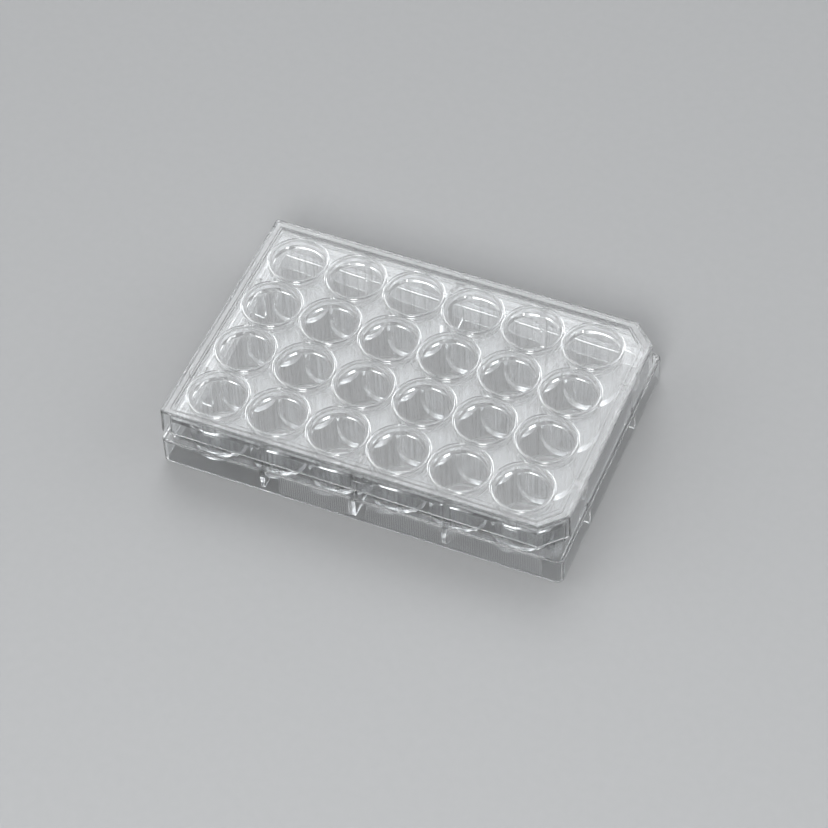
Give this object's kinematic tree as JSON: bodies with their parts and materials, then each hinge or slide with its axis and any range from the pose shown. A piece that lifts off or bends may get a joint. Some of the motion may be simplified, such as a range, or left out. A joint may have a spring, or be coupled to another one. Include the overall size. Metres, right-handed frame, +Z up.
{
  "type": "well plate",
  "caption": "Clear moulded culture plate with a grid of round flat-bottomed wells, a stepped base flange and a loose stacking lid with two mitred corners",
  "frame": {"origin": "centre of the rectangular footprint, on the underside of the flange", "axes": "+X along the length toward the two mitred corners, +Y across the width, +Z up out of the wells"},
  "size_m": [0.1278, 0.0854, 0.0221],
  "materials": {
    "plate_clear": "clear colourless polystyrene, polished mould faces",
    "lid_clear": "clear colourless polystyrene, polished mould faces"
  },
  "bodies": {
    "root": {"plate": "plate_clear", "lid": "lid_clear"}
  },
  "joints": []
}
